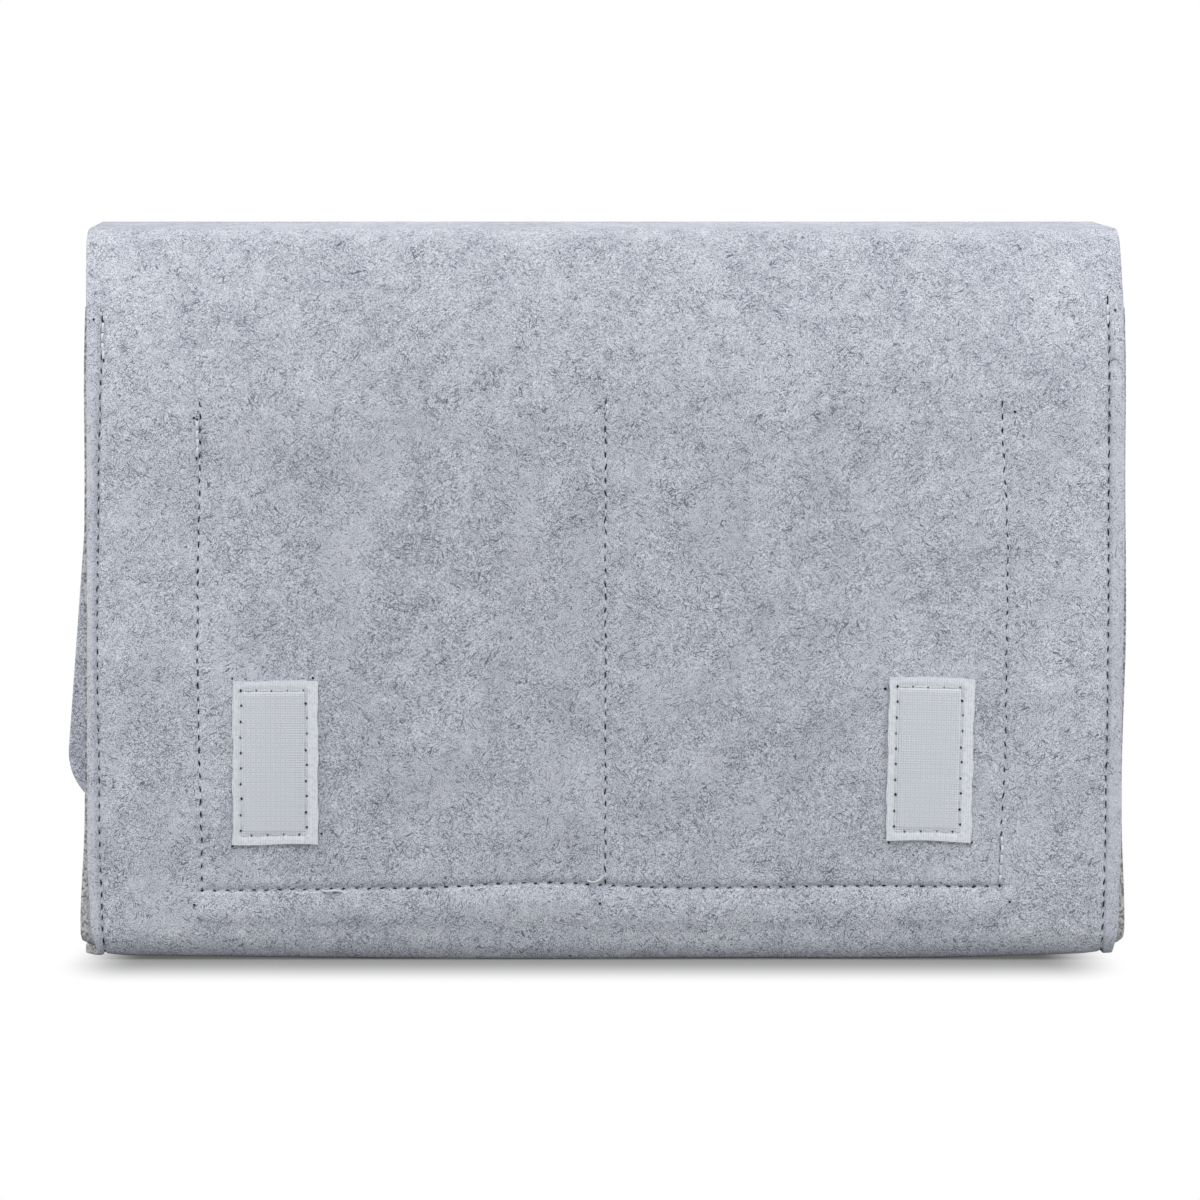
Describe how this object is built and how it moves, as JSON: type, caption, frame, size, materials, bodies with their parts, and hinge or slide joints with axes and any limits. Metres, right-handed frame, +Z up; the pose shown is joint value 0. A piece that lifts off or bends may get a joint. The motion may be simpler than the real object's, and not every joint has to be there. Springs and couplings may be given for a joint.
{
  "type": "bedside caddy",
  "caption": "Soft grey felt bedside caddy with gusseted sides, a divided inner pocket, sewn hook tapes on its back and a long flap that folds over the mouth or wraps over a bed rail.",
  "frame": {"origin": "middle of the base, on the surface that the caddy stands on", "axes": "+X to the right in the picture, along the caddy's width; +Y from the rear panel with the hook tapes towards the front under the flap; +Z up"},
  "size_m": [0.3205, 0.0695, 0.2214],
  "materials": {
    "felt": "needled polyester felt, grey melange, matte and fuzzy",
    "pocket_felt": "thinner needled felt, grey melange, matte",
    "hook_tape": "white woven nylon hook tape, slight sheen on the hooks",
    "loop_tape": "white brushed nylon loop tape, matte pile",
    "thread": "pale grey spun sewing thread"
  },
  "bodies": {
    "bag": {"body_wrap": "felt", "gusset_left": "felt", "gusset_right": "felt", "inner_pocket": "pocket_felt", "hook_tape_left": "hook_tape", "hook_tape_right": "hook_tape", "hook_stitch_left": "thread", "hook_stitch_right": "thread", "pocket_seam": "thread", "pocket_divider_seam": "thread", "side_seam_rear_left": "thread", "side_seam_rear_right": "thread", "side_seam_front_left": "thread", "side_seam_front_right": "thread"},
    "flap_rear_fold": {"flap_rear_fold": "felt"},
    "flap_bridge": {"flap_bridge": "felt"},
    "flap_front_fold": {"flap_front_fold": "felt"},
    "flap_apron": {"flap_apron": "felt", "loop_tape_left": "loop_tape", "loop_tape_right": "loop_tape", "loop_stitch_left": "thread", "loop_stitch_right": "thread"}
  },
  "joints": [
    {"name": "rear_fold_lower", "type": "hinge", "parent": "bag", "child": "flap_rear_fold", "pos_m": [0, -0.01863, 0.21131], "axis": [1, 0, 0], "range_deg": [0, 86]},
    {"name": "rear_fold_upper", "type": "hinge", "parent": "flap_rear_fold", "child": "flap_bridge", "pos_m": [0, -0.01523, 0.2141], "axis": [1, 0, 0], "range_deg": [0, 86]},
    {"name": "front_fold_upper", "type": "hinge", "parent": "flap_bridge", "child": "flap_front_fold", "pos_m": [0, 0.02358, 0.22011], "axis": [1, 0, 0], "range_deg": [0, 98.5]},
    {"name": "front_fold_lower", "type": "hinge", "parent": "flap_front_fold", "child": "flap_apron", "pos_m": [0, 0.033, 0.21204], "axis": [1, 0, 0], "range_deg": [0, 98.5]}
  ],
  "couplings": [
    {"joint": "rear_fold_upper", "follows": "rear_fold_lower", "ratio": 1},
    {"joint": "front_fold_lower", "follows": "front_fold_upper", "ratio": 1}
  ]
}
